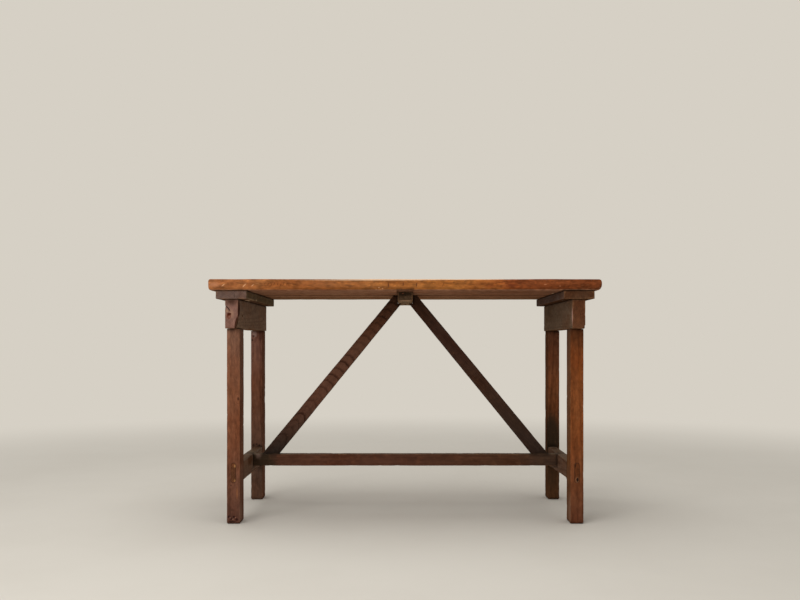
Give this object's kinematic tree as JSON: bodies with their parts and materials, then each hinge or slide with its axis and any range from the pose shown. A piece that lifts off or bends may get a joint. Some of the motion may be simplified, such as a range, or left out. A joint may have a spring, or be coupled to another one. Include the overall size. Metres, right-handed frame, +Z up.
{
  "type": "sawbuck table",
  "caption": "Small oak trestle table: plank top on H-shaped end frames, low stretcher and V braces to a cleat under the top.",
  "frame": {"origin": "on the floor under the middle of the table", "axes": "+X along the top towards the right-hand end as seen from the front, +Y from the front to the rear, +Z up"},
  "size_m": [1.219, 0.61, 0.766],
  "materials": {
    "top_oak": "old oak, honey brown, waxed and worn, semi-gloss top",
    "leg_oak": "old oak, red brown, hand-rubbed wax",
    "rail_oak": "old oak, grey brown, dry",
    "stretcher_oak": "old oak, dark brown, worn and dusty",
    "brace_oak": "old oak, dark brown, satin",
    "peg_oak": "dark end grain",
    "iron": "blackened, slightly rusted"
  },
  "bodies": {
    "root": {"batten_left": "rail_oak", "batten_right": "rail_oak", "batten_screws_left": "iron", "batten_screws_right": "iron", "bolster_dowels_left": "peg_oak", "bolster_dowels_right": "peg_oak", "bolster_left": "rail_oak", "bolster_right": "rail_oak", "brace_brads_left": "iron", "brace_brads_right": "iron", "brace_left": "brace_oak", "brace_right": "brace_oak", "cleat_centre": "brace_oak", "cleat_screws": "iron", "end_stretcher_left": "stretcher_oak", "end_stretcher_right": "stretcher_oak", "leg_front_left": "leg_oak", "leg_front_right": "leg_oak", "leg_pegs_left": "peg_oak", "leg_pegs_right": "peg_oak", "leg_rear_left": "leg_oak", "leg_rear_right": "leg_oak", "long_stretcher": "stretcher_oak", "stretcher_pegs_left": "peg_oak", "stretcher_pegs_right": "peg_oak", "stretcher_wedge_left": "peg_oak", "stretcher_wedge_right": "peg_oak", "top_board_front": "top_oak", "top_board_middle": "top_oak", "top_board_rear": "top_oak", "top_tongue_front": "peg_oak", "top_tongue_rear": "peg_oak"}
  },
  "joints": []
}
